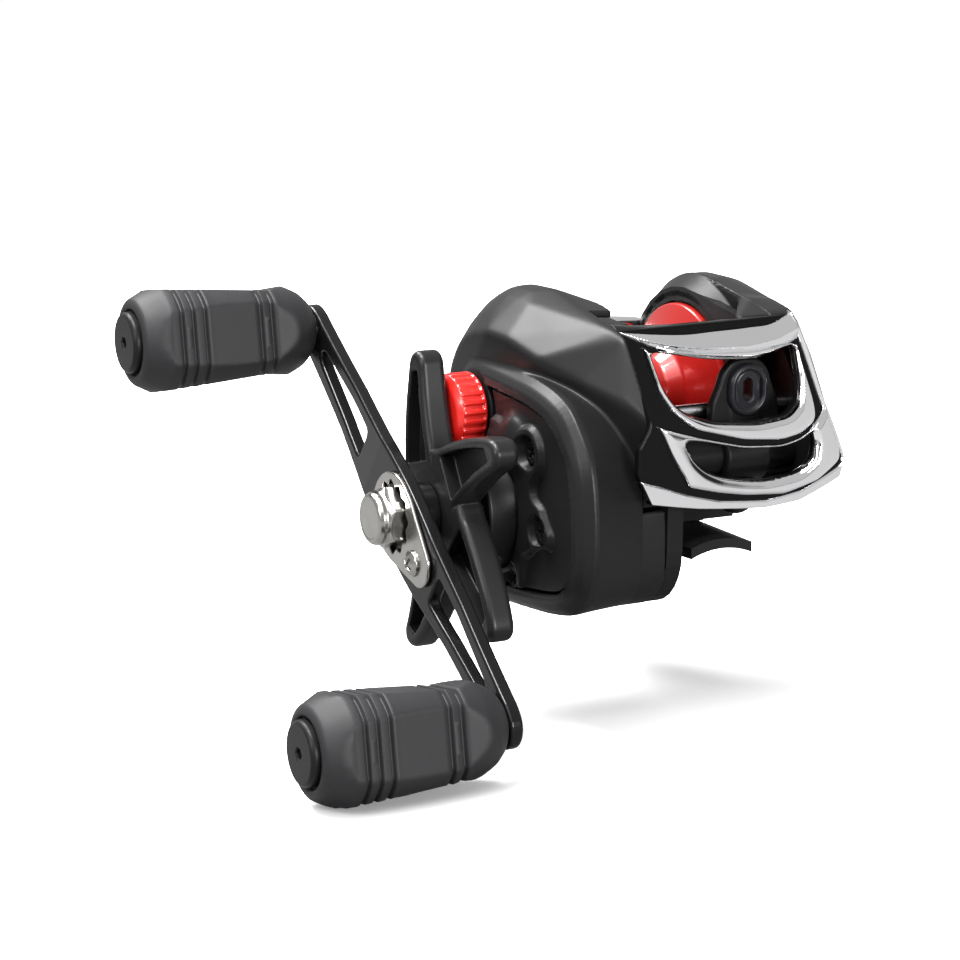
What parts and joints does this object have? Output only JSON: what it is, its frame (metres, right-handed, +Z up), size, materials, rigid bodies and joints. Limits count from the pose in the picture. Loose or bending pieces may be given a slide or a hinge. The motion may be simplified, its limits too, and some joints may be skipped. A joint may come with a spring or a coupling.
{
  "type": "baitcasting reel",
  "caption": "Low-profile baitcasting fishing reel with a double handle, five-arm star drag, red spool and level-wind line guide.",
  "frame": {"origin": "centre of the seat under the reel foot: on the plane through the lower edges of the foot's two tips, in the spool's middle plane", "axes": "+X along the spool axis to the palm side, with the handle at -X; -Y to the front, where the line leaves; +Z up, away from the rod"},
  "size_m": [0.118, 0.0976, 0.0758],
  "materials": {
    "case_black": "satin",
    "frame_black": "satin",
    "shield_black": "gloss",
    "chrome_trim": "chrome-plated",
    "spool_red": "anodised",
    "knob_red": "anodised",
    "crank_black": "gloss anodised",
    "star_black": "satin anodised",
    "steel": "ground",
    "nickel": "nickel-plated",
    "bearing_steel": "polished",
    "brass": "machined",
    "gear_white": "moulded",
    "drag_fibre": "matte",
    "grip_rubber": "matte",
    "foot_black": "satin anodised",
    "ring_ceramic": "gloss",
    "magnet": "nickel-plated"
  },
  "bodies": {
    "frame": {"frame": "frame_black", "reel_foot": "foot_black", "foot_rivets": "steel", "handle_side_cover": "case_black", "bearing_plate": "case_black", "control_collar": "frame_black", "cover_screws": "steel", "palm_side_cover": "case_black", "brake_plate": "frame_black", "thumb_rest": "case_black", "front_shield": "shield_black", "upper_trim": "chrome_trim", "lower_trim": "chrome_trim", "bottom_trim": "chrome_trim", "one_way_bearing": "bearing_steel", "main_shaft_bearing": "bearing_steel", "pinion_bearing": "bearing_steel", "spool_bearings": "bearing_steel", "yoke_posts": "steel", "yoke_springs": "steel", "idler_pin": "steel", "worm_guard": "frame_black", "worm_bushes": "gear_white", "guide_rod": "steel"},
    "handle": {"main_shaft": "steel", "level_wind_gear": "gear_white", "ratchet_wheel": "steel", "drive_gear": "brass", "drag_discs": "drag_fibre", "key_washer": "steel", "pressure_plate": "steel", "clutch_sleeve": "bearing_steel", "spring_washers": "steel", "crank": "crank_black", "handle_nut": "nickel", "nut_retainer": "nickel", "retainer_screw": "steel", "knob_posts": "steel"},
    "star": {"star_drag": "star_black", "drag_nut": "brass"},
    "upper_knob": {"upper_knob": "grip_rubber", "upper_knob_cap": "frame_black"},
    "lower_knob": {"lower_knob": "grip_rubber", "lower_knob_cap": "frame_black"},
    "spool": {"spool": "spool_red", "spool_shaft": "steel", "spool_pin": "steel", "brake_rotor": "bearing_steel"},
    "clutch_yoke": {"yoke": "frame_black"},
    "pinion": {"pinion": "brass"},
    "clutch_bar": {"thumb_bar": "chrome_trim", "clutch_cam": "steel"},
    "control_knob": {"cast_control_knob": "knob_red"},
    "brake_dial": {"brake_dial": "frame_black"},
    "magnet_ring": {"magnet_ring": "magnet"},
    "idler": {"idler_gear": "gear_white"},
    "worm": {"worm": "brass", "worm_gear": "gear_white"},
    "line_guide": {"line_guide": "frame_black", "guide_insert": "ring_ceramic"}
  },
  "joints": [
    {"name": "handle_turn", "type": "hinge", "parent": "frame", "child": "handle", "pos_m": [-0.03, -0.0048, 0.0071], "axis": [-1, 0, 0], "continuous": true},
    {"name": "star_turn", "type": "hinge", "parent": "handle", "child": "star", "pos_m": [-0.0415, -0.0048, 0.0071], "axis": [-1, 0, 0], "range_deg": [-720, 180]},
    {"name": "upper_knob_spin", "type": "hinge", "parent": "handle", "child": "upper_knob", "pos_m": [-0.066, 0.0338, 0.03479], "axis": [-1, 0, 0], "continuous": true},
    {"name": "lower_knob_spin", "type": "hinge", "parent": "handle", "child": "lower_knob", "pos_m": [-0.066, -0.0434, -0.02058], "axis": [-1, 0, 0], "continuous": true},
    {"name": "spool_spin", "type": "hinge", "parent": "frame", "child": "spool", "pos_m": [0, 0.00212, 0.02339], "axis": [-1, 0, 0], "continuous": true},
    {"name": "yoke_slide", "type": "slide", "parent": "frame", "child": "clutch_yoke", "axis": [-1, 0, 0], "range_m": [0, 0.0018], "deforming": ["yoke_springs"]},
    {"name": "pinion_spin", "type": "hinge", "parent": "clutch_yoke", "child": "pinion", "pos_m": [-0.02, 0.00212, 0.02339], "axis": [-1, 0, 0], "continuous": true},
    {"name": "clutch_press", "type": "slide", "parent": "frame", "child": "clutch_bar", "axis": [0, 0, -1], "range_m": [0, 0.004], "stiffness_N_per_m": 300, "springref_m": -0.004},
    {"name": "cast_control_turn", "type": "hinge", "parent": "frame", "child": "control_knob", "pos_m": [-0.036, 0.00212, 0.02339], "axis": [-1, 0, 0], "range_deg": [-540, 540]},
    {"name": "brake_dial_turn", "type": "hinge", "parent": "frame", "child": "brake_dial", "pos_m": [0.029, 0.00212, 0.02339], "axis": [1, 0, 0], "range_deg": [-270, 0]},
    {"name": "magnet_slide", "type": "slide", "parent": "frame", "child": "magnet_ring", "axis": [-1, 0, 0], "range_m": [0, 0.0015]},
    {"name": "idler_spin", "type": "hinge", "parent": "frame", "child": "idler", "pos_m": [-0.019, -0.01658, 0.01259], "axis": [-1, 0, 0], "continuous": true},
    {"name": "worm_spin", "type": "hinge", "parent": "frame", "child": "worm", "pos_m": [-0.019, -0.02655, 0.01724], "axis": [-1, 0, 0], "continuous": true},
    {"name": "line_guide_slide", "type": "slide", "parent": "frame", "child": "line_guide", "axis": [1, 0, 0], "range_m": [-0.0136, 0.0032]}
  ],
  "couplings": [
    {"joint": "spool_spin", "follows": "handle_turn", "ratio": -6.375},
    {"joint": "pinion_spin", "follows": "handle_turn", "ratio": -6.375},
    {"joint": "idler_spin", "follows": "handle_turn", "ratio": -1.1667},
    {"joint": "worm_spin", "follows": "handle_turn", "ratio": 1.4},
    {"joint": "yoke_slide", "follows": "clutch_press", "ratio": 0.45},
    {"joint": "magnet_slide", "follows": "brake_dial_turn", "m_per_rad": -0.000318}
  ]
}
